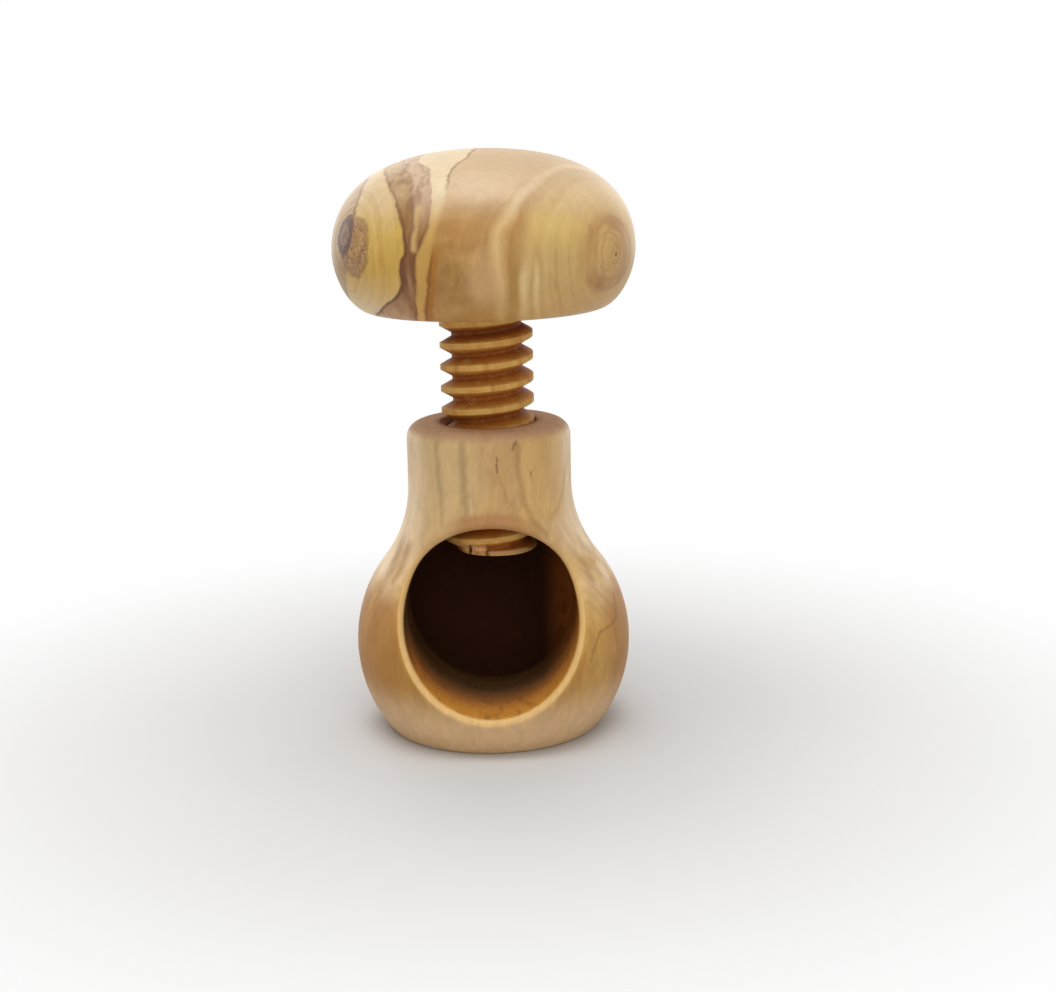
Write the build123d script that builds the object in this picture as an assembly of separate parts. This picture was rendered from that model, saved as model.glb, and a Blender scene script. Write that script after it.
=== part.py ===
from build123d import *

import os
from math import floor, sqrt

# A screw nutcracker turned in olive wood. A round-bellied body holds the nut in a chamber
# that opens to the front. A wooden screw runs down through the tapped neck, and the big
# mushroom knob glued on top of it turns it down onto the nut.
# Millimetres, +Z up, origin in the middle of the foot. The chamber opens towards -Y.

# ---- driving dimensions ----

# body: a ball that runs through a cove into a straight neck
ball_radius = 34.5
ball_level = 22.0          # height of the ball's centre above the table
cove_radius = 31.5
neck_radius = 20.4
neck_straight = 15.2       # from the end of the cove to the top face
neck_rounding = 3.8
foot_rounding = 1.7

# nut chamber: bored from the front, a little taller than wide, with a round back
chamber_width = 42.4
chamber_height = 44.4
chamber_level = 32.6       # height of its middle above the table
mouth_rounding = 1.6

# wooden thread, right-handed
thread_pitch = 5.4
crest_radius = 11.5
root_radius = 8.6
crest_land = 1.3
root_land = 0.8
root_bite = 0.3            # how far the ridge is rooted in the core
tip_chamfer = 0.3

# tapped neck
bore_radius = 9.6
crest_play = 0.5
flank_play = 0.3
countersink_depth = 1.8     # down to the rod's root radius

# spindle: the threaded rod with its tenon, and the knob on it
rod_length = 60.3          # threaded length below the knob
opening_gap = 28.0         # from the neck's top face up to the knob's underside
tenon_radius = 8.2
tenon_length = 20.0
tenon_chamfer = 0.8

# knob: a flattened bun
knob_radius = 36.95
knob_height = 38.4
knob_belly = 14.6          # height of its widest circle above its underside
seat_radius = 28.0         # flat middle of the underside
crown_fullness = 0.9      # how far the crown stays level, as a share of its reach
brow_fullness = 0.31       # how far its side stays upright, as a share of its rise
cheek_fullness = 0.45
sole_fullness = 0.51

# glue line round the tenon
glue_thickness = 0.14
glue_clearance = 0.03      # each side, at the tenon and in the socket

# ---- places worked out from them ----

flank_slope = (thread_pitch - root_land - crest_land) / 2 / (crest_radius - root_radius)

cove_rise = sqrt((ball_radius + cove_radius) ** 2 - (neck_radius + cove_radius) ** 2)
cove_end = ball_level + cove_rise
neck_top = cove_end + neck_straight
foot_radius = sqrt(ball_radius ** 2 - ball_level ** 2)
knob_bottom = neck_top + opening_gap
screw_tip = knob_bottom - rod_length
socket_radius = tenon_radius + glue_thickness + 2 * glue_clearance
socket_depth = tenon_length + glue_thickness + 2 * glue_clearance

STANDING = (Align.CENTER, Align.CENTER, Align.MIN)
HANGING = (Align.CENTER, Align.CENTER, Align.MAX)


def turned(outline):
    """A solid of revolution about the vertical axis, from a closed outline in XZ."""
    return revolve(Plane.XZ * make_face(outline), Axis.Z)


def ridge_width(radius):
    """Width of the rod's thread ridge at a distance from the axis."""
    return crest_land + 2 * flank_slope * (crest_radius - radius)


def disc(radius, bottom, top):
    return Pos(0, 0, bottom) * Cylinder(radius, top - bottom, align=STANDING)


def thread_ridge(core, crest, side_play, bottom, top):
    """One helical ridge of tapered section, rooted a little inside the core.

    It starts a whole number of turns from the rod's tip, so rod and tap are in step, and
    runs past both heights.
    """
    turns_up = floor((bottom - screw_tip) / thread_pitch) - 1
    start = Pos(0, 0, screw_tip + turns_up * thread_pitch)
    sunk = core - root_bite
    foot_width = ridge_width(sunk) + 2 * side_play
    edge_width = ridge_width(crest) + 2 * side_play
    section = Polyline(
        (sunk, -foot_width / 2),
        (crest, -edge_width / 2),
        (crest, edge_width / 2),
        (sunk, foot_width / 2),
        close=True,
    )
    length = top + thread_pitch - start.position.Z
    path = start * Edge.make_helix(thread_pitch, length, core)
    face = start * (Plane.XZ * make_face(section))
    return Part() + Solid.sweep(face.face(), path, is_frenet=True)


def make_body():
    """The turned body with its chamber, its eased mouth and its tapped neck."""
    reach = ball_radius + cove_radius
    join = (
        (neck_radius + cove_radius) * ball_radius / reach,
        ball_level + cove_rise * ball_radius / reach,
    )
    neck_foot = (neck_radius, cove_end)
    outline = (
        Line((0, 0), (foot_radius, 0))
        + ThreePointArc((foot_radius, 0), (ball_radius, ball_level), join)
        + TangentArc(neck_foot, join, tangent=(0, -1))
        + Polyline(neck_foot, (neck_radius, neck_top), (0, neck_top), (0, 0))
    )
    blank = turned(outline)
    rims = blank.edges().filter_by(GeomType.CIRCLE).group_by(Axis.Z)
    blank = fillet(rims[-1], neck_rounding)
    rims = blank.edges().filter_by(GeomType.CIRCLE).group_by(Axis.Z)
    blank = fillet(rims[0], foot_rounding)

    oval = Pos(0, chamber_level) * Ellipse(chamber_width / 2, chamber_height / 2)
    half = oval & Pos(chamber_width / 2, chamber_level) * Rectangle(chamber_width, 2 * chamber_height)
    bore = extrude(Plane.XZ * oval, 2 * ball_radius)
    back = revolve(Plane.XZ * half, Axis.Z, 180)
    hollowed = blank - (bore + back)
    mouth = hollowed.edges().filter_by(lambda edge: edge.bounding_box().max.Y < -chamber_width / 4)
    hollowed = fillet(mouth, mouth_rounding)

    tapped_radius = crest_radius + crest_play
    grooved = hollowed - thread_ridge(
        bore_radius,
        tapped_radius,
        flank_play,
        chamber_level,
        neck_top,
    )
    bored = grooved - disc(bore_radius, chamber_level, neck_top + thread_pitch)
    sink = Pos(0, 0, neck_top) * Cone(
        root_radius,
        tapped_radius,
        countersink_depth,
        align=HANGING,
    )
    return bored - sink


def make_screw():
    """The threaded rod, bevelled at the tip, with a smooth tenon for the knob."""
    core = disc(root_radius, screw_tip, knob_bottom)
    rod = core + thread_ridge(root_radius, crest_radius, 0, screw_tip, knob_bottom)
    blank = disc(crest_radius + crest_play, screw_tip, knob_bottom)
    blank = chamfer(blank.edges().group_by(Axis.Z)[0], tip_chamfer + crest_play)
    tenon = disc(tenon_radius, knob_bottom, knob_bottom + tenon_length)
    tenon = chamfer(tenon.edges().group_by(Axis.Z)[-1], tenon_chamfer)
    return (rod & blank) + tenon


def make_knob():
    """The bun-shaped knob with the blind socket for the tenon."""
    top = knob_bottom + knob_height
    belly_level = knob_bottom + knob_belly
    rise = knob_height - knob_belly
    crown = Bezier(
        (0, top),
        (crown_fullness * knob_radius, top),
        (knob_radius, belly_level + brow_fullness * rise),
        (knob_radius, belly_level),
    )
    underside = Bezier(
        (knob_radius, belly_level),
        (knob_radius, belly_level - cheek_fullness * knob_belly),
        (seat_radius + sole_fullness * (knob_radius - seat_radius), knob_bottom),
        (seat_radius, knob_bottom),
    )
    middle = Polyline((seat_radius, knob_bottom), (0, knob_bottom), (0, top))
    bun = turned(crown + underside + middle)
    return bun - disc(socket_radius, knob_bottom, knob_bottom + socket_depth)


def make_glue_film():
    """The thin cup of glue between the tenon and its socket."""
    outer = glue_clearance + glue_thickness
    cup = disc(tenon_radius + outer, knob_bottom + glue_clearance, knob_bottom + tenon_length + outer)
    room = disc(
        tenon_radius + glue_clearance,
        knob_bottom + glue_clearance,
        knob_bottom + tenon_length + glue_clearance,
    )
    return cup - room


pieces = {
    "body": make_body(),
    "screw": make_screw(),
    "knob": make_knob(),
    "glue_film": make_glue_film(),
}

os.makedirs("parts", exist_ok=True)
for name, piece in pieces.items():
    export_step(piece, f"parts/{name}.step")
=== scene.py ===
import bpy
import math
from mathutils import Matrix, Vector

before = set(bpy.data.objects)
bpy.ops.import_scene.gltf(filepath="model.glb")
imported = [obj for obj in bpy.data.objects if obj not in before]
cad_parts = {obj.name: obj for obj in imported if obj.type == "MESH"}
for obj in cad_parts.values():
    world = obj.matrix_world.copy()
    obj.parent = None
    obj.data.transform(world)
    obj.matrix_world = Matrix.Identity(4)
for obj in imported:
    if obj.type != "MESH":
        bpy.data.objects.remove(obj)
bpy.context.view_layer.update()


# ---- body ----
# The pear-shaped body, turned from one block of olive wood with the grain upright. The nut
# chamber is bored from the front and the neck is tapped for the wooden screw. It is sanded
# and oiled outside, while the bore inside is rougher and painted darker with shade.

def tone(red, green, blue):
    """A wood colour as seen on screen, 0 to 255, as the linear colour that a node takes."""
    linear = []
    for level in (red, green, blue):
        share = level / 255
        linear.append(share / 12.92 if share <= 0.04045 else ((share + 0.055) / 1.055) ** 2.4)
    return (*linear, 1.0)


def node(tree, kind, inputs=None, **settings):
    """A shader node with its settings, and its inputs as values or as other nodes' outputs."""
    made = tree.nodes.new("ShaderNode" + kind)
    for name, value in settings.items():
        setattr(made, name, value)
    for name, value in (inputs or {}).items():
        if isinstance(value, bpy.types.NodeSocket):
            tree.links.new(value, made.inputs[name])
        else:
            made.inputs[name].default_value = value
    return made


def calc(tree, operation, *values, clamp=False):
    """The result of one sum on numbers."""
    made = node(tree, "Math", dict(enumerate(values)), operation=operation, use_clamp=clamp)
    return made.outputs[0]


def along(tree, operation, *values):
    """The result of one sum on places or directions."""
    made = node(tree, "VectorMath", dict(enumerate(values)), operation=operation)
    return made.outputs["Value" if operation in ("LENGTH", "DOT_PRODUCT", "DISTANCE") else "Vector"]


def scaled(tree, place, size):
    """A place or direction made longer by one number."""
    return node(tree, "VectorMath", {0: place, "Scale": size}, operation="SCALE").outputs[0]


def product(tree, first, *others):
    """Several numbers or masks multiplied together."""
    for other in others:
        first = calc(tree, "MULTIPLY", first, other)
    return first


def strongest(tree, first, *others):
    """The strongest of several masks."""
    for other in others:
        first = calc(tree, "MAXIMUM", first, other)
    return first


def raised(tree, base, rise, mask):
    """A base value, and as much more as the rise where the mask is 1."""
    return calc(tree, "ADD", base, calc(tree, "MULTIPLY", mask, rise))


def swayed(tree, value, noise, reach):
    """A value that a noise sways up and down by up to half the reach."""
    return raised(tree, value, reach, calc(tree, "SUBTRACT", noise, 0.5))


def step(tree, value, start, end):
    """0 before start and 1 after end, with a soft passage between them."""
    made = node(tree, "MapRange", {"Value": value, "From Min": start, "From Max": end},
                interpolation_type="SMOOTHSTEP")
    return made.outputs["Result"]


def hump(tree, value, middle, width, flat=0.0):
    """1 where the value is within flat of the middle, 0 where it is further off than width."""
    away = calc(tree, "ABSOLUTE", calc(tree, "SUBTRACT", value, middle))
    return step(tree, away, width, flat)


def blend(tree, share, under, over, way="MIX"):
    """One colour laid over another."""
    made = node(tree, "Mix", {0: share, 6: under, 7: over}, data_type="RGBA", blend_type=way)
    return made.outputs[2]


def stained(tree, under, mask, share, over):
    """A colour with another laid over it where the mask is 1, at that share of its strength."""
    return blend(tree, calc(tree, "MULTIPLY", mask, share), under, over)


def ramp(tree, value, stops, low=0.0, high=1.0):
    """A run of colours along a value from low to high, with the stops in the value's unit."""
    share = calc(tree, "DIVIDE", calc(tree, "SUBTRACT", value, low), high - low)
    made = node(tree, "ValToRGB", {"Fac": share})
    points = made.color_ramp.elements
    points.remove(points[1])
    points[0].position = (stops[0][0] - low) / (high - low)
    points[0].color = tone(*stops[0][1])
    for place, colour in stops[1:]:
        points.new((place - low) / (high - low)).color = tone(*colour)
    return made.outputs["Color"]


def squeezed(tree, place, shape):
    """A place with its x, y and z scaled, which stretches the pattern that reads it."""
    return along(tree, "MULTIPLY", place, shape)


def distance(tree, place, centre, shape=(1, 1, 1)):
    """The distance from a centre, with x, y and z each counted by its share in the shape."""
    return along(tree, "LENGTH", squeezed(tree, along(tree, "SUBTRACT", place, centre), shape))


def cloud(tree, place, scale, detail=2.0, rough=0.5, twist=0.0, out="Fac"):
    """Soft random patches, where scale is how many there are in a millimetre."""
    made = node(tree, "TexNoise", {"Vector": place, "Scale": scale, "Detail": detail,
                                   "Roughness": rough, "Distortion": twist})
    return made.outputs[out]


def drift(tree, place, scale, detail, rough=0.5):
    """A random push to any side, about nothing on average."""
    colours = cloud(tree, place, scale, detail, rough, out="Color")
    return along(tree, "SUBTRACT", colours, (0.5, 0.5, 0.5))


def pushed(tree, place, push, reach):
    """A place moved by a push, times a reach in millimetres."""
    return along(tree, "ADD", place, along(tree, "MULTIPLY", push, (reach, reach, reach)))


def streaks(tree, value, scale, detail, rough=0.5):
    """A random run along one value."""
    made = node(tree, "TexNoise", {"W": value, "Scale": scale, "Detail": detail, "Roughness": rough},
                noise_dimensions="1D")
    return made.outputs["Fac"]


def group(name, inputs, outputs):
    """An empty node group with the named inputs and outputs."""
    tree = bpy.data.node_groups.new(name, "ShaderNodeTree")
    for label, kind, value in inputs:
        socket = tree.interface.new_socket(name=label, in_out="INPUT", socket_type="NodeSocket" + kind)
        socket.default_value = value
    for label, kind in outputs:
        tree.interface.new_socket(name=label, in_out="OUTPUT", socket_type="NodeSocket" + kind)
    return tree, tree.nodes.new("NodeGroupInput").outputs, tree.nodes.new("NodeGroupOutput").inputs


# fine upright fibres, short dark pores and their relief, for a place in millimetres
fibre_tree, given, result = group(
    "wood_fibre",
    [("Place", "Vector", (0, 0, 0)), ("Fineness", "Float", 1.0)],
    [("Fibre", "Float"), ("Pore", "Float"), ("Relief", "Float")],
)
upright = scaled(fibre_tree, squeezed(fibre_tree, given["Place"], (1.0, 1.0, 0.07)), given["Fineness"])
coarse = cloud(fibre_tree, upright, 0.9, 5.0, 0.62, 0.2)
fine = cloud(fibre_tree, upright, 3.2, 3.0, 0.6)
fibre = raised(fibre_tree, product(fibre_tree, coarse, 0.6), 0.4, fine)
dashes = cloud(fibre_tree, squeezed(fibre_tree, given["Place"], (1.0, 1.0, 0.16)), 3.4, 1.0)
pore = step(fibre_tree, dashes, 0.66, 0.74)
fibre_tree.links.new(fibre, result["Fibre"])
fibre_tree.links.new(pore, result["Pore"])
fibre_tree.links.new(calc(fibre_tree, "SUBTRACT", fibre, pore), result["Relief"])

# growth rings: a broad uneven band from ring to ring and the thin dark line of late wood
rings_tree, given, result = group(
    "growth_rings",
    [("Distance", "Float", 0.0), ("Spacing", "Float", 2.0), ("Seed", "Float", 0.0)],
    [("Band", "Float"), ("Line", "Float")],
)
turns = calc(rings_tree, "DIVIDE", given["Distance"], given["Spacing"])
turns = calc(rings_tree, "ADD", turns, given["Seed"])
strength = streaks(rings_tree, calc(rings_tree, "FLOOR", turns), 0.77, 0.0)
late = calc(rings_tree, "POWER", calc(rings_tree, "FRACT", turns), 7.0)
late = product(rings_tree, late, step(rings_tree, strength, 0.4, 0.75))
rings_tree.links.new(streaks(rings_tree, turns, 0.9, 4.0, 0.6), result["Band"])
rings_tree.links.new(late, result["Line"])

# one soft dark stroke of grain between two places
stroke_tree, given, result = group(
    "grain_stroke",
    [("Place", "Vector", (0, 0, 0)), ("Start", "Vector", (0, 0, 0)), ("End", "Vector", (0, 0, 1)),
     ("Width", "Float", 0.5)],
    [("Mask", "Float")],
)
run = along(stroke_tree, "SUBTRACT", given["End"], given["Start"])
offset = along(stroke_tree, "SUBTRACT", given["Place"], given["Start"])
share = calc(stroke_tree, "DIVIDE", along(stroke_tree, "DOT_PRODUCT", offset, run),
             along(stroke_tree, "DOT_PRODUCT", run, run), clamp=True)
away = along(stroke_tree, "DISTANCE", offset, scaled(stroke_tree, run, share))
stroke_tree.links.new(step(stroke_tree, away, given["Width"], 0.0), result["Mask"])


def placed(tree, kind, inputs):
    """One of the groups above, placed in a material."""
    return node(tree, "Group", inputs, node_tree=kind).outputs


def strokes(tree, place, points, width):
    """The mask of a line of grain through several places."""
    return strongest(tree, *(
        placed(tree, stroke_tree, {"Place": place, "Start": start, "End": end, "Width": width})["Mask"]
        for start, end in zip(points, points[1:])
    ))


def wood(name):
    """A new wood material: its tree, its shader and the place on the piece in millimetres."""
    material = bpy.data.materials.new(name)
    material.use_nodes = True
    tree = material.node_tree
    here = node(tree, "TexCoord").outputs["Object"]
    place = node(tree, "Mapping", {"Vector": here, "Scale": (1000, 1000, 1000)}).outputs["Vector"]
    return material, tree, tree.nodes["Principled BSDF"], place


def oiled(tree, colour, shade):
    """The wood's colour, lightened and deepened by a shade that changes over it."""
    tint = node(tree, "CombineColor", {0: shade, 1: shade, 2: shade}).outputs[0]
    return blend(tree, 1.0, colour, tint, "MULTIPLY")


def lift_fibres(tree, shader, fibres, strength, height):
    """Lets the fibres stand out and the pores sink in, by a height in metres."""
    bump = node(tree, "Bump", {"Strength": strength, "Distance": height, "Height": fibres["Relief"]})
    tree.links.new(bump.outputs["Normal"], shader.inputs["Normal"])


def dress(piece, material):
    """Gives a CAD piece its material."""
    piece.data.materials.clear()
    piece.data.materials.append(material)


half_width, half_height = 21.2, 22.2  # of the chamber's mouth, in millimetres
mouth_level = 32.6                    # height of its middle above the table
ball_centre = (0, 0, 22)

body_wood, tree, shader, place = wood("body_wood")
x, y, z = node(tree, "SeparateXYZ", {0: place}).outputs
radius = along(tree, "LENGTH", squeezed(tree, place, (1, 1, 0)))
front = step(tree, y, 2, -6)
# 1 at the edge of the chamber's mouth, less within it and more beyond it
mouth = distance(tree, place, (0, 0, mouth_level), (1 / half_width, 0, 1 / half_height))

# rings about a pith line behind the body, so the front shows upright bands that open
# into arches where the neck swells into the ball
wander = drift(tree, squeezed(tree, place, (1, 1, 0.3)), 0.05, 2.0)
strayed = pushed(tree, place, wander, 9)
ring_distance = distance(tree, strayed, (-1, 42, 0), (1, 1, 0.06))
rings = placed(tree, rings_tree, {"Distance": ring_distance, "Spacing": 3.4, "Seed": 3.7})
fibres = placed(tree, fibre_tree, {"Place": strayed})
patches = cloud(tree, squeezed(tree, place, (1, 1, 0.45)), 0.06, 3.0, 0.55, 0.6)
blotches = cloud(tree, squeezed(tree, strayed, (1, 1, 0.5)), 0.16, 4.0, 0.6, 0.5)
mottle = cloud(tree, squeezed(tree, strayed, (1, 1, 0.3)), 0.45, 5.0, 0.66, 0.6)

neck_colour = ramp(tree, rings["Band"], [
    (0.30, (187, 147, 94)),
    (0.44, (194, 154, 100)),
    (0.56, (199, 159, 105)),
    (0.72, (208, 171, 119)),
])
ball_colour = ramp(tree, rings["Band"], [
    (0.30, (178, 130, 60)),
    (0.44, (190, 143, 71)),
    (0.56, (199, 153, 78)),
    (0.72, (210, 166, 92)),
])
colour = blend(tree, step(tree, z, 54, 40), neck_colour, ball_colour)
colour = stained(tree, colour, rings["Line"], 0.15, tone(150, 106, 60))
colour = stained(tree, colour, step(tree, blotches, 0.5, 0.3), 0.36, tone(166, 121, 64))
colour = stained(tree, colour, step(tree, blotches, 0.54, 0.74), 0.34, tone(218, 183, 128))

# pale down both sides of the neck and over the shoulders: painted light from the sides, with a ragged lower
# border
outward = calc(tree, "DIVIDE", calc(tree, "ABSOLUTE", x), radius)
painted_side_light = product(tree, step(tree, outward, 0.58, 0.92), step(tree, swayed(tree, z, patches, 40), 31, 50),
                  raised(tree, 0.6, 0.35, step(tree, patches, 0.34, 0.56)))
colour = blend(tree, painted_side_light, colour, tone(242, 214, 174))

# grey heartwood smears down the left of the neck
grey_zone = product(tree, step(tree, x, -18, -13), step(tree, x, -1, -6), step(tree, z, 47, 60), front)
smears = cloud(tree, squeezed(tree, strayed, (1, 1, 0.06)), 0.3, 3.0, 0.6)
colour = stained(tree, colour, grey_zone, 0.6, tone(218, 187, 134))
grey_smears = product(tree, grey_zone, step(tree, smears, 0.44, 0.7))
colour = stained(tree, colour, grey_smears, 0.42, tone(174, 146, 102))
ragged = pushed(tree, place, drift(tree, place, 0.35, 3.0, 0.6), 1.6)
left_line = strokes(tree, ragged, [(-12.4, -16.3, 76), (-11.9, -16.6, 66), (-11.1, -17.4, 55)], 1.3)
second_line = strokes(tree, ragged, [(-6.2, -19.4, 76), (-5.9, -19.6, 66.7), (-5.4, -19.9, 57)], 1.9)
colour = stained(tree, colour, left_line, 0.4, tone(156, 128, 86))
colour = stained(tree, colour, second_line, 0.6, tone(158, 127, 84))

# a rounded tongue of yellower wood on the right of the neck, inside a dark edge that runs
# down into the arch beside the mouth
tongue = product(tree, step(tree, x, 6.6, 8.6), step(tree, x, 19.5, 16.5), step(tree, z, 54, 58), front)
colour = stained(tree, colour, tongue, 0.65, tone(214, 170, 106))
arch = strokes(tree, ragged, [(6.9, -19.1, 77), (7.3, -19.0, 70), (7.6, -18.9, 66.6), (8.5, -18.6, 60.8),
                              (10.7, -18.2, 56.0), (13.8, -17.2, 52.6)], 1.5)
colour = stained(tree, colour, arch, 0.5, tone(160, 118, 68))
inner_arch = strokes(tree, ragged, [(2.0, -20.3, 69), (3.6, -20.1, 65.0), (4.4, -19.9, 61.5)], 0.8)
side_arch = strokes(tree, ragged, [(18.9, -8.0, 66.5), (18.4, -9.3, 62.0), (17.0, -12.0, 58.2),
                                   (15.0, -14.7, 56.1)], 1.2)
fine_arches = strongest(tree, inner_arch, side_arch)
colour = stained(tree, colour, fine_arches, 0.28, tone(156, 114, 66))

# short checks in the neck, and painted shade in a browner patch over the top of the mouth
checks = strongest(
    tree,
    strokes(tree, ragged, [(2.1, -20.3, 72.6), (2.3, -20.3, 68.6)], 0.42),
    strokes(tree, ragged, [(7.2, -18.7, 76.4), (6.0, -19.5, 74.0)], 0.5),
    strokes(tree, ragged, [(10.4, -17.5, 68.4), (10.3, -17.6, 65.6)], 0.4),
)
colour = stained(tree, colour, checks, 0.75, tone(112, 82, 46))
brow_shade = product(tree, step(tree, mouth, 1.22, 1.13), hump(tree, x, 0, 12, 5), step(tree, z, 50, 53), front)
colour = stained(tree, colour, brow_shade, 0.85, tone(178, 127, 78))

# soft brown flames on the ball, painted shade down its sides, a dark wave on its right and
# smoky smudges on its shoulders
flames = cloud(tree, squeezed(tree, pushed(tree, place, wander, 16), (1, 0.8, 0.5)), 0.11, 3.0, 0.55, 1.2)
flames = product(tree, step(tree, flames, 0.5, 0.74), step(tree, z, 52, 42), step(tree, z, 6, 18))
colour = stained(tree, colour, flames, 0.5, tone(160, 114, 54))
ball_side_shade = strongest(tree, step(tree, x, -16, -27), product(tree, step(tree, x, 25, 32), 0.9))
ball_side_shade = product(tree, ball_side_shade, step(tree, z, 42, 32), step(tree, z, 2, 14))
unevenness = calc(tree, "ADD", 0.45, step(tree, patches, 0.36, 0.6))
ball_side_shade = calc(tree, "MULTIPLY", ball_side_shade, unevenness, clamp=True)
colour = stained(tree, colour, ball_side_shade, 0.75, tone(164, 109, 44))
wave = strokes(tree, ragged, [
    (30.4, -10.1, 35.5), (30.7, -13.3, 30.3), (29.0, -17.2, 29.1), (26.3, -21.3, 28.8),
    (25.7, -22.4, 27.1), (24.5, -24.0, 25.2), (24.0, -24.8, 22.6),
], 0.8)
colour = stained(tree, colour, wave, 0.5, tone(128, 88, 44))
smudges = strongest(
    tree,
    strokes(tree, ragged, [(-22.4, -8.0, 49), (-24.4, -11.5, 43.3), (-26.4, -13.2, 38.0)], 3.4),
    strokes(tree, ragged, [(-20.6, -12.2, 49), (-21.8, -15.0, 43.1)], 2.6),
    strokes(tree, ragged, [(22.6, -13.4, 45), (24.6, -15.4, 40.4)], 2.6),
)
colour = stained(tree, colour, smudges, 0.42, tone(154, 110, 60))

# pale low front, rosy end grain on top, and the freshly cut paler lip of the mouth with a painted highlight
# along its lower part
low_front = product(tree, step(tree, z, 19, 7), step(tree, y, -2, -16))
colour = stained(tree, colour, low_front, 0.8, tone(217, 182, 140))
upward = node(tree, "SeparateXYZ", {0: node(tree, "TexCoord").outputs["Normal"]}).outputs[2]
end_grain = product(tree, step(tree, upward, 0.3, 0.85), step(tree, z, 72, 76))
top_colour = blend(tree, cloud(tree, place, 1.1, 3.0, 0.6), tone(190, 146, 110), tone(208, 168, 132))
top_colour = blend(tree, step(tree, radius, 14.5, 11.8), top_colour, tone(158, 106, 66))
colour = stained(tree, colour, end_grain, 0.92, top_colour)
lip_and_highlight = product(tree, step(tree, mouth, 1.085, 1.06), step(tree, y, -8, -12), step(tree, z, 52, 44))
colour = stained(tree, colour, lip_and_highlight, 0.85, tone(224, 184, 118))

# inside the chamber: raw wood in painted light and shade, amber at the front of the floor and
# nearly black in painted shade at the top and the back, with painted light on the right wall
past_mouth = step(tree, mouth, 1.02, 0.995)
under_skin = step(tree, distance(tree, place, ball_centre), 34, 33)
inside = product(tree, past_mouth, under_skin, step(tree, z, 56.5, 55.5))
lit_height = calc(tree, "SUBTRACT", z, product(tree, step(tree, x, 4, 18), 13.0))
chamber_shade = strongest(tree, step(tree, y, -30, -7), step(tree, lit_height, 14, 34))
painted_right_light = product(tree, step(tree, x, 12, 20), step(tree, z, 52, 36), 0.5)
chamber_shade = product(tree, chamber_shade, calc(tree, "SUBTRACT", 1.0, painted_right_light))
# painted shade: amber on the floor where light falls, darkening to near black at the top and back
painted_bore_shade = ramp(tree, chamber_shade, [
    (0.0, (194, 130, 42)),
    (0.3, (176, 108, 40)),
    (0.55, (140, 80, 34)),
    (1.0, (56, 31, 18)),
])
bore_mottle = cloud(tree, squeezed(tree, place, (1, 0.4, 1)), 0.35, 4.0, 0.6, 0.5)
bore_dark = blend(tree, chamber_shade, tone(96, 46, 22), tone(64, 36, 20))
painted_bore_shade = stained(tree, painted_bore_shade, step(tree, bore_mottle, 0.5, 0.72), 0.5, bore_dark)
colour = blend(tree, inside, colour, painted_bore_shade)

# the tapped bore of the neck, painted dark with shade, and lighter in its countersink
tapped = product(tree, step(tree, radius, 12.6, 12.1), step(tree, z, 54, 56))
painted_tap_shade = blend(tree, step(tree, z, 76.0, 77.6), tone(92, 50, 26), tone(150, 94, 58))
colour = blend(tree, tapped, colour, painted_tap_shade)

shade = raised(tree, 0.68, 0.2, fibres["Fibre"])
shade = raised(tree, shade, 0.46, mottle)
shade = raised(tree, shade, -0.08, fibres["Pore"])
tree.links.new(oiled(tree, colour, shade), shader.inputs["Base Color"])
roughness = raised(tree, 0.42, 0.16, fibres["Fibre"])
roughness = raised(tree, roughness, 0.25, strongest(tree, inside, end_grain))
tree.links.new(roughness, shader.inputs["Roughness"])
gloss = raised(tree, 0.25, -0.22, strongest(tree, inside, tapped))
tree.links.new(gloss, shader.inputs["Specular IOR Level"])
lift_fibres(tree, shader, fibres, 0.35, 0.00006)
dress(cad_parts["body"], body_wood)


# ---- screw ----
# The wooden rod with its coarse right-handed thread, cut from a straight-grained stick. The
# crests are smooth and pale, and the cut flanks and roots are darker, from more oil and from painted shade.

screw_wood, tree, shader, place = wood("screw_wood")
x, y, z = node(tree, "SeparateXYZ", {0: place}).outputs
nibbled = pushed(tree, place, drift(tree, place, 0.4, 3.0, 0.6), 1.3)
nibbled_radius = along(tree, "LENGTH", squeezed(tree, nibbled, (1, 1, 0)))
fibres = placed(tree, fibre_tree, {"Place": along(tree, "ADD", nibbled, (40, 7, 0)), "Fineness": 1.2})
ring_distance = distance(tree, nibbled, (9, 30, 0), (1, 1, 0.03))
rings = placed(tree, rings_tree, {"Distance": ring_distance, "Spacing": 1.7, "Seed": 8.2})
patches = cloud(tree, squeezed(tree, place, (1, 1, 0.8)), 0.28, 4.0, 0.62, 0.6)

# dark at the root of the thread, from oil and painted shade, and pale on its crest
colour = ramp(tree, nibbled_radius, [
    (8.3, (132, 70, 24)),
    (9.2, (156, 90, 34)),
    (10.5, (180, 118, 48)),
    (11.2, (204, 154, 78)),
    (11.6, (216, 170, 95)),
], 8.0, 12.0)
colour = stained(tree, colour, step(tree, patches, 0.5, 0.3), 0.5, tone(178, 104, 50))
colour = stained(tree, colour, step(tree, patches, 0.54, 0.8), 0.4, tone(214, 174, 98))
colour = stained(tree, colour, step(tree, rings["Band"], 0.52, 0.7), 0.3, tone(176, 116, 53))
colour = stained(tree, colour, rings["Line"], 0.2, tone(138, 80, 36))
shaded_end = product(tree, step(tree, z, 93, 104), step(tree, nibbled_radius, 11.4, 9.5))
colour = stained(tree, colour, shaded_end, 0.6, tone(104, 48, 22))

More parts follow.
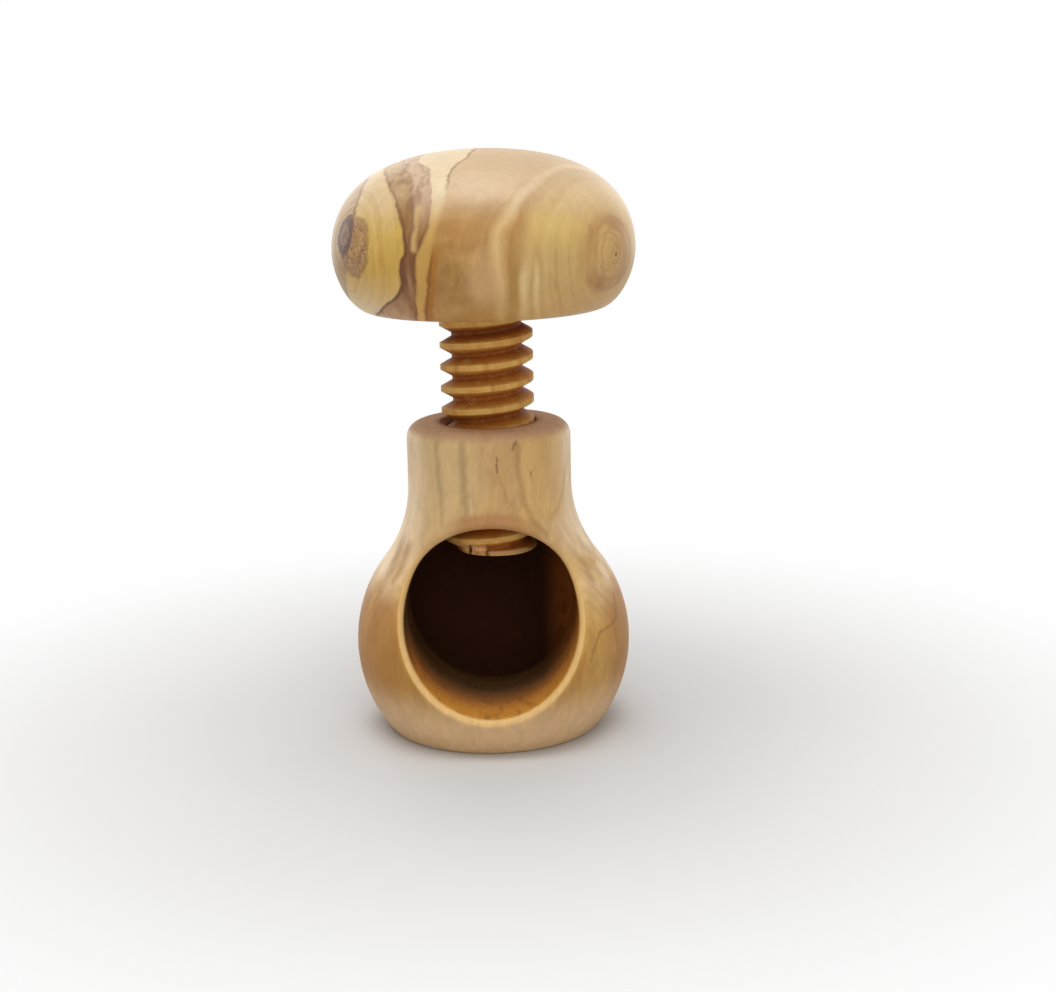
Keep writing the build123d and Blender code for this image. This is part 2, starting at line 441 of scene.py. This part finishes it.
# the first turn of the thread is worn pale, and its end is chipped, with a dark crack across
# the chip and a notch at its edge
front_side = step(tree, y, -4, -6)
worn = product(tree, step(tree, z, 46.7, 46.3), step(tree, x, -0.9, -0.5), front_side)
colour = stained(tree, colour, worn, 0.9, tone(240, 198, 138))
chipped = product(tree, step(tree, z, 48.5, 48.1), step(tree, x, -8.6, -8.2), step(tree, x, -0.7, -1.0),
                  front_side)
splinters = cloud(tree, squeezed(tree, nibbled, (1.6, 1, 0.3)), 0.9, 3.0, 0.6)
bare_wood = blend(tree, step(tree, splinters, 0.35, 0.65), tone(200, 146, 88), tone(232, 188, 128))
colour = stained(tree, colour, chipped, 0.95, bare_wood)
first_turn = product(tree, front_side, step(tree, z, 48.6, 48.2))
wavy_x = swayed(tree, x, splinters, 1.4)
crack = product(tree, hump(tree, wavy_x, -5.1, 0.42, 0.15), first_turn)
colour = stained(tree, colour, crack, 0.9, tone(48, 24, 12))
notch = product(tree, hump(tree, wavy_x, -0.8, 0.6, 0.2), first_turn)
colour = stained(tree, colour, notch, 0.8, tone(128, 72, 32))

shade = raised(tree, 0.84, 0.34, fibres["Fibre"])
shade = raised(tree, shade, -0.14, fibres["Pore"])
tree.links.new(oiled(tree, colour, shade), shader.inputs["Base Color"])
tree.links.new(raised(tree, 0.5, 0.2, fibres["Fibre"]), shader.inputs["Roughness"])
lift_fibres(tree, shader, fibres, 0.5, 0.00012)
shader.inputs["Specular IOR Level"].default_value = 0.1
dress(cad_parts["screw"], screw_wood)


# ---- glue film ----
# The thin skin of dried wood glue round the tenon, between the screw and the knob. It is
# hidden inside the knob, and holds the two together.

wood_glue = bpy.data.materials.new("wood_glue")
wood_glue.use_nodes = True
shader = wood_glue.node_tree.nodes["Principled BSDF"]
shader.inputs["Base Color"].default_value = tone(222, 208, 170)
shader.inputs["Roughness"].default_value = 0.5
dress(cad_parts["glue_film"], wood_glue)


# ---- knob ----
# The big mushroom knob, turned from a strongly figured piece of olive. A small branch pith
# shows on the right of its front, a burl knot on the left, and between them dark twisted
# heartwood runs up beside a cream band of sapwood.

knob_low, knob_high = 104.0, 146.0  # the heights that its figure is laid out between
pith_point = (31.2, -19.8, 120.2)
pale_streak = 32.6                  # how far from the pith the pale streak runs


def heights(tree, z, points, reach=30.0):
    """A value that changes with height, from points of height and value in millimetres."""
    full = knob_high - knob_low
    share = calc(tree, "DIVIDE", calc(tree, "SUBTRACT", z, knob_low), full)
    made = node(tree, "FloatCurve", {"Value": share})
    line = made.mapping.curves[0]
    places = [((height - knob_low) / full, value / reach) for height, value in points]
    line.points[0].location = places[0]
    line.points[1].location = places[-1]
    for place in places[1:-1]:
        line.points.new(*place)
    made.mapping.update()
    return calc(tree, "MULTIPLY", made.outputs[0], reach)


knob_wood, tree, shader, place = wood("knob_wood")
x, y, z = node(tree, "SeparateXYZ", {0: place}).outputs

# the figure wanders little on the front and more towards the back
loose = drift(tree, squeezed(tree, place, (1, 1, 0.6)), 0.035, 2.0)
loose = scaled(tree, loose, product(tree, step(tree, y, -16, 22), 22.0))
ripple = drift(tree, squeezed(tree, place, (1, 1, 0.5)), 0.22, 3.0, 0.55)
nibble = drift(tree, squeezed(tree, place, (1, 1, 0.6)), 0.8, 3.0, 0.6)
figure_place = pushed(tree, along(tree, "ADD", place, loose), ripple, 1.4)
ragged = pushed(tree, figure_place, nibble, 1.1)
blotches = cloud(tree, squeezed(tree, figure_place, (1, 1, 0.7)), 0.13, 3.0, 0.55, 0.8)
flecks = cloud(tree, squeezed(tree, ragged, (1, 1, 0.22)), 0.6, 4.0, 0.62)
mottle = cloud(tree, squeezed(tree, figure_place, (1, 1, 0.4)), 0.4, 5.0, 0.66, 0.6)

# how far a place lies to the left, measured across the strands, which lean a little
lean = (-0.97, 0.10, 0.175)
across = along(tree, "DOT_PRODUCT", along(tree, "SUBTRACT", ragged, (0, 0, 121)), lean)
from_pith = distance(tree, figure_place, pith_point)

# right-hand side: broad soft rings about the pith, with one pale streak in the middle that
# leans over towards the top
swell = heights(tree, z, [
    (104, 0.3), (112, 0.2), (121, 0), (126, 0.4), (130, 1.8), (134.6, 4.1), (138.4, 7.6), (145, 13),
])
ring_distance = raised(tree, from_pith, swell, step(tree, from_pith, 10, 24))
bending = cloud(tree, squeezed(tree, place, (1, 1, 0.3)), 0.09, 2.0)
ring_distance = swayed(tree, ring_distance, bending, product(tree, step(tree, from_pith, 9, 20), 5.0))
colour = ramp(tree, ring_distance, [
    (0.0, (196, 154, 95)),
    (19.0, (204, 168, 112)),
    (27.0, (194, 158, 102)),
    (30.6, (166, 121, 60)),
    (pale_streak, (208, 171, 118)),
    (34.6, (170, 126, 69)),
    (46.0, (167, 122, 65)),
    (62.0, (180, 137, 81)),
], 0.0, 80.0)
rings = placed(tree, rings_tree, {"Distance": ring_distance, "Spacing": 2.2, "Seed": 5.3})
ring_share = raised(tree, 0.07, 0.21, step(tree, ring_distance, 30, 16))
colour = stained(tree, colour, step(tree, rings["Band"], 0.48, 0.7), ring_share, tone(224, 196, 146))
colour = stained(tree, colour, step(tree, rings["Band"], 0.5, 0.3), ring_share, tone(160, 116, 66))
pale_bands = strongest(tree, hump(tree, ring_distance, 27.3, 2.0), hump(tree, ring_distance, 24.0, 1.4))
pale_bands = product(tree, pale_bands, step(tree, z, 123, 116))
colour = stained(tree, colour, pale_bands, 0.85, tone(226, 196, 148))
golden_glow = distance(tree, figure_place, (17.5, -31.4, 127.3), (1, 1, 1.3))
colour = stained(tree, colour, step(tree, golden_glow, 10, 2), 0.6, tone(207, 178, 108))

# brown wood between the streak and the cream band, with short upright flecks
brown_zone = step(tree, ring_distance, 33, 37)
dark_patches = product(tree, brown_zone, step(tree, blotches, 0.52, 0.3))
colour = stained(tree, colour, dark_patches, 0.55, tone(156, 111, 56))
fleck_zone = product(tree, brown_zone, step(tree, z, 128, 121))
pale_flecks = product(tree, fleck_zone, step(tree, flecks, 0.44, 0.74), step(tree, blotches, 0.36, 0.56))
colour = stained(tree, colour, pale_flecks, 0.7, tone(192, 152, 102))
dark_flecks = product(tree, fleck_zone, step(tree, flecks, 0.48, 0.26))
colour = stained(tree, colour, dark_flecks, 0.6, tone(140, 96, 50))
shimmer = cloud(tree, squeezed(tree, figure_place, (0.55, 0.55, 1.0)), 0.3, 3.0, 0.5, 0.4)
pale_shimmer = product(tree, brown_zone, step(tree, shimmer, 0.46, 0.8))
colour = stained(tree, colour, pale_shimmer, 0.32, tone(206, 166, 112))
dark_shimmer = product(tree, brown_zone, step(tree, shimmer, 0.5, 0.24))
colour = stained(tree, colour, dark_shimmer, 0.3, tone(146, 103, 54))

# painted light: a glow along the foot of the knob and a sheen high on its front; a pale warm patch
# mid-front
colour = stained(tree, colour, step(tree, z, 117, 107), 0.5, tone(190, 144, 88))
painted_sheen = distance(tree, ragged, (0.5, -27.0, 137.8), (0.75, 0.3, 2.2))
colour = stained(tree, colour, step(tree, painted_sheen, 13, 3), 0.6, tone(228, 199, 166))
warm_patch = distance(tree, ragged, (1.2, -36.2, 115.8), (1, 1, 0.7))
colour = stained(tree, colour, step(tree, warm_patch, 7.0, 2.0), 0.5, tone(212, 172, 128))

# the small pith: a soft rosy ring, thickest below, round a paler core with its dark point
eye_ring = distance(tree, figure_place, (29.5, -20.8, 120.6), (1, 1, 1.2))
eye_core = distance(tree, figure_place, (29.2, -21.8, 121.0), (1, 1, 1.15))
rosy_share = raised(tree, 0.42, 0.5, step(tree, z, 118, 113))
upper_right = product(tree, step(tree, z, 124, 128), step(tree, x, 27, 31))
rosy_share = raised(tree, rosy_share, 0.35, upper_right)
rosy = product(tree, step(tree, eye_ring, 12.2, 9.8), step(tree, eye_core, 4.6, 7.4), rosy_share,
               raised(tree, 0.7, 0.3, step(tree, blotches, 0.6, 0.4)))
colour = blend(tree, rosy, colour, tone(170, 120, 72))
core_rings = streaks(tree, eye_core, 0.7, 2.0)
inner = step(tree, eye_core, 8.5, 5.0)
dark_core = product(tree, inner, step(tree, core_rings, 0.5, 0.36))
colour = stained(tree, colour, dark_core, 0.38, tone(172, 128, 72))
pale_core = product(tree, inner, step(tree, core_rings, 0.5, 0.66))
colour = stained(tree, colour, pale_core, 0.32, tone(216, 178, 118))
pith_dot = step(tree, distance(tree, ragged, pith_point), 0.85, 0.35)
colour = stained(tree, colour, pith_dot, 0.85, tone(112, 78, 46))

# paler and rosier over the crown: the wood's own tone with a painted sheen on it
colour = stained(tree, colour, step(tree, z, 127, 140), 0.85, tone(187, 161, 125))
streak_top = product(tree, hump(tree, ring_distance, pale_streak, 2.4), step(tree, z, 127, 134))
colour = stained(tree, colour, streak_top, 0.55, tone(204, 178, 144))
right_crown = product(tree, step(tree, ring_distance, 26, 16), step(tree, z, 126, 134))
colour = stained(tree, colour, right_crown, 0.6, tone(209, 182, 138))

# the cream band of sapwood; its border is a thin line above and a broad amber one below
border = heights(tree, z, [
    (104, 7.1), (110, 7.3), (122, 7.3), (130, 7.3), (136, 7.0), (141, 7.2), (143, 5.4), (146, 5.4),
])
cream = ramp(tree, z, [
    (106, (206, 158, 88)),
    (122, (192, 150, 80)),
    (128, (194, 155, 92)),
    (136, (206, 185, 150)),
], knob_low, knob_high)
past_border = calc(tree, "SUBTRACT", across, border)
soft_zone = product(tree, step(tree, z, 137, 133), step(tree, z, 120, 125))
softness = raised(tree, 0.25, 0.8, soft_zone)
colour = blend(tree, step(tree, past_border, product(tree, softness, -1.0), softness), colour, cream)
low_border = step(tree, z, 126, 120)
amber = product(tree, hump(tree, past_border, -0.4, 1.5, 0.5), low_border)
colour = stained(tree, colour, amber, 0.9, tone(164, 106, 34))
line_share = raised(tree, product(tree, low_border, 0.6), 0.6, step(tree, z, 135, 139))
border_line = hump(tree, past_border, 0.0, 0.55, 0.15)
colour = stained(tree, colour, border_line, line_share, tone(120, 78, 38))

# yellow wood round the burl
yellow = ramp(tree, swayed(tree, z, blotches, 9.0), [
    (107, (222, 198, 162)),
    (114, (211, 174, 108)),
    (119, (202, 160, 78)),
    (127, (201, 165, 90)),
    (134, (200, 173, 130)),
    (144, (199, 173, 137)),
], knob_low, knob_high)
shell_distance = distance(tree, pushed(tree, ragged, loose, 3), (-37.5, -18.4, 120.6))
shells = placed(tree, rings_tree, {"Distance": shell_distance, "Spacing": 2.6, "Seed": 2.1})
yellow = stained(tree, yellow, step(tree, shells["Band"], 0.5, 0.3), 0.34, tone(174, 131, 68))
yellow = stained(tree, yellow, step(tree, shells["Band"], 0.52, 0.72), 0.25, tone(222, 192, 134))
yellow = stained(tree, yellow, shells["Line"], 0.3, tone(150, 104, 54))

# the dark heartwood: two strands that meet at a waist, with dark outlines
cream_edge = heights(tree, z, [
    (104, 9.3), (108, 9.6), (111.5, 10.0), (115.5, 10.4), (119.4, 10.8), (122.2, 11.0), (125, 10.1),
    (128.3, 9.3), (131, 9.4), (134.1, 10.0), (138.5, 11.5), (140.7, 13.0), (142.2, 16.7), (146, 18),
])
seam = heights(tree, z, [
    (104, 10.1), (107.6, 10.3), (115.4, 10.8), (120.3, 11.7), (123.1, 12.5), (126.3, 12.8),
    (129.5, 13.2), (134, 14.4), (138.9, 16.2), (141, 20), (146, 22),
])
outer_edge = heights(tree, z, [
    (104, 22), (108.4, 19.1), (111.8, 15.6), (115.3, 13.7), (118.2, 14.4), (120.6, 14.3), (123, 13.5),
    (125.8, 14.5), (129.4, 16.1), (132.5, 17.8), (135.6, 20.1), (138.1, 22.7), (140.5, 25), (146, 27),
])
past_cream = calc(tree, "SUBTRACT", across, cream_edge)
past_seam = calc(tree, "SUBTRACT", across, seam)
past_outer = calc(tree, "SUBTRACT", across, outer_edge)
inner_strand = ramp(tree, z, [
    (107, (136, 90, 56)),
    (116, (126, 79, 44)),
    (126, (144, 101, 56)),
    (138, (186, 158, 129)),
], knob_low, knob_high)
outer_strand = ramp(tree, z, [
    (108, (186, 143, 106)),
    (116, (114, 67, 42)),
    (126, (136, 91, 46)),
    (132, (152, 117, 70)),
    (142, (180, 155, 119)),
], knob_low, knob_high)
strands = blend(tree, step(tree, past_seam, -0.3, 0.3), inner_strand, outer_strand)
between = product(tree, hump(tree, past_seam, 0.5, 1.1, 0.4), step(tree, z, 120, 116))
strands = stained(tree, strands, between, 0.7, tone(162, 115, 76))
heart_grain = cloud(tree, squeezed(tree, figure_place, (1, 0.6, 0.06)), 0.42, 2.0, 0.5)
strands = stained(tree, strands, step(tree, heart_grain, 0.5, 0.3), 0.5, tone(116, 74, 42))
strands = stained(tree, strands, step(tree, heart_grain, 0.52, 0.74), 0.36, tone(202, 172, 132))
colour = blend(tree, step(tree, past_cream, -0.25, 0.25), colour, strands)
colour = blend(tree, step(tree, past_outer, -0.2, 0.2), colour, yellow)

waist = product(tree, step(tree, z, 110, 118), step(tree, z, 131, 124))
seam_line = product(tree, hump(tree, past_seam, 0.0, 0.9), step(tree, z, 117, 121), 0.7)
outer_line = hump(tree, past_outer, -0.3, 0.9, 0.1)
cream_line = product(tree, hump(tree, past_cream, 0.1, 1.0), raised(tree, 0.15, 0.75, waist))
outline = product(tree, strongest(tree, seam_line, outer_line, cream_line),
                  raised(tree, 0.36, 0.6, step(tree, z, 138, 124)),
                  raised(tree, 0.66, 0.34, step(tree, mottle, 0.3, 0.62)))
colour = blend(tree, outline, colour, tone(108, 66, 38))
sliver = strokes(tree, ragged, [(-14.0, -30.1, 132.0), (-14.3, -32.2, 128.0), (-15.0, -33.6, 123.4)], 1.25)
colour = stained(tree, colour, sliver, 0.95, tone(200, 164, 114))

# beyond the burl: tan wood behind one more dark line, with painted shade over the knob's left edge
past_rim = calc(tree, "SUBTRACT", across, 28.6)
from_burl = distance(tree, figure_place, (-31.5, -18.4, 124.6))
side_rings = placed(tree, rings_tree, {"Distance": from_burl, "Spacing": 2.8, "Seed": 6.4})
side_wood_and_shade = blend(tree, step(tree, side_rings["Band"], 0.35, 0.62), tone(152, 118, 80), tone(178, 148, 112))
side_wood_and_shade = stained(tree, side_wood_and_shade, side_rings["Line"], 0.4, tone(142, 102, 62))
side_wood_and_shade = stained(tree, side_wood_and_shade, step(tree, blotches, 0.52, 0.34), 0.4, tone(160, 118, 66))
colour = stained(tree, colour, step(tree, past_rim, -0.3, 0.3), 0.8, side_wood_and_shade)
rim_line = product(tree, hump(tree, past_rim, 0.0, 0.7), step(tree, z, 125, 129))
colour = stained(tree, colour, rim_line, 0.75, tone(128, 92, 62))

# the burl knot: a smoky eye above a rough reddish patch with a dark edge
rough_place = pushed(tree, place, drift(tree, place, 0.45, 4.0, 0.65), 3.6)
from_patch = distance(tree, rough_place, (-29.8, -21.2, 123.2), (1, 1, 0.88))
crumbs = cloud(tree, place, 0.75, 5.0, 0.72, 1.2)
patch_colour = blend(tree, step(tree, crumbs, 0.32, 0.66), tone(112, 70, 54), tone(188, 146, 102))
colour = stained(tree, colour, hump(tree, from_patch, 5.9, 0.9), 0.6, tone(122, 82, 54))
colour = stained(tree, colour, step(tree, from_patch, 6.2, 5.0), 0.86, patch_colour)
from_eye = distance(tree, rough_place, (-32.2, -16.9, 125.6), (1, 1, 0.85))
smoke = cloud(tree, place, 0.5, 5.0, 0.75, 1.0)
eye_colour = ramp(tree, raised(tree, from_eye, 5.0, smoke), [
    (1.6, (172, 146, 116)),
    (3.0, (112, 84, 70)),
    (4.2, (150, 120, 100)),
    (5.4, (92, 66, 60)),
    (7.0, (112, 80, 66)),
], 0.0, 9.0)
colour = stained(tree, colour, step(tree, from_eye, 4.8, 4.0), 0.95, eye_colour)

fibres = placed(tree, fibre_tree, {"Place": along(tree, "ADD", figure_place, (11, 3, 0)), "Fineness": 0.9})
shade = raised(tree, 0.70, 0.14, fibres["Fibre"])
shade = raised(tree, shade, 0.16, blotches)
shade = raised(tree, shade, 0.32, mottle)
shade = raised(tree, shade, -0.05, fibres["Pore"])
yellow_oil = (1.0, 0.985, 0.88, 1.0)
colour = blend(tree, step(tree, z, 136, 126), colour, yellow_oil, "MULTIPLY")
tree.links.new(oiled(tree, colour, shade), shader.inputs["Base Color"])
tree.links.new(raised(tree, 0.36, 0.16, fibres["Fibre"]), shader.inputs["Roughness"])
lift_fibres(tree, shader, fibres, 0.3, 0.00005)
shader.inputs["Specular IOR Level"].default_value = 0.3
dress(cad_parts["knob"], knob_wood)


# ---- studio ----
# A plain white table that runs into a white surround, one large soft lamp above the knob,
# three weaker ones in front and behind, and the camera a little above the knob, looking
# down on it.

def looked_at(tree, *kinds):
    """1 for the rays that look at the surround, and 0 for those that light the piece."""
    rays = node(tree, "LightPath").outputs
    return strongest(tree, *(rays[f"Is {kind} Ray"] for kind in kinds))


bpy.ops.object.select_all(action="DESELECT")
bpy.ops.mesh.primitive_circle_add(vertices=96, radius=4.0, fill_type="NGON", location=(0, 0, 0))
table = bpy.context.object
table.name = "table"
table_white = bpy.data.materials.new("table_white")
table_white.use_nodes = True
tree = table_white.node_tree
shader = tree.nodes["Principled BSDF"]
shader.inputs["Base Color"].default_value = (0.62, 0.615, 0.61, 1.0)
shader.inputs["Roughness"].default_value = 0.7
reach = along(tree, "LENGTH", node(tree, "TexCoord").outputs["Object"])
far = product(tree, step(tree, reach, 0.06, 0.20), looked_at(tree, "Camera", "Glossy"))
glow = node(tree, "Emission", {"Color": (1, 1, 1, 1), "Strength": 1.0})
surface = node(tree, "MixShader", {0: far, 1: shader.outputs[0], 2: glow.outputs[0]})
tree.links.new(surface.outputs[0], tree.nodes["Material Output"].inputs["Surface"])
table.data.materials.append(table_white)

world = bpy.data.worlds.new("white_surround")
bpy.context.scene.world = world
world.use_nodes = True
tree = world.node_tree
background = tree.nodes["Background"]
background.inputs["Color"].default_value = (1, 1, 1, 1)
brightness = raised(tree, 0.34, 0.66, looked_at(tree, "Camera", "Glossy", "Transmission"))
tree.links.new(brightness, background.inputs["Strength"])

lit_middle = Vector((0, 0, 0.07))
for name, stand, size, power in (
    ("top_lamp", (-0.05, -0.08, 0.85), 0.70, 6.0),
    ("front_lamp", (0.10, -0.85, 0.40), 0.60, 2.2),
    ("left_lamp", (-0.42, 0.85, 0.25), 0.55, 1.6),
    ("right_lamp", (0.42, 0.85, 0.25), 0.55, 1.6),
):
    lamp_data = bpy.data.lights.new(name, "AREA")
    lamp_data.energy = power
    lamp_data.size = size
    lamp = bpy.data.objects.new(name, lamp_data)
    bpy.context.collection.objects.link(lamp)
    lamp.location = stand
    lamp.rotation_euler = (lit_middle - Vector(stand)).to_track_quat("-Z", "Y").to_euler()

camera_tilt, camera_roll = math.radians(90 - 12.73), math.radians(-1.2)
camera_data = bpy.data.cameras.new("camera")
camera_data.lens = 62.65
camera_data.sensor_width = 36.0
camera = bpy.data.objects.new("camera", camera_data)
bpy.context.collection.objects.link(camera)
camera.location = (0.0095, -0.450, 0.160)
camera.rotation_euler = (Matrix.Rotation(camera_tilt, 3, "X")
                         @ Matrix.Rotation(camera_roll, 3, "Z")).to_euler()
bpy.context.scene.camera = camera
bpy.context.scene.view_settings.view_transform = "Standard"
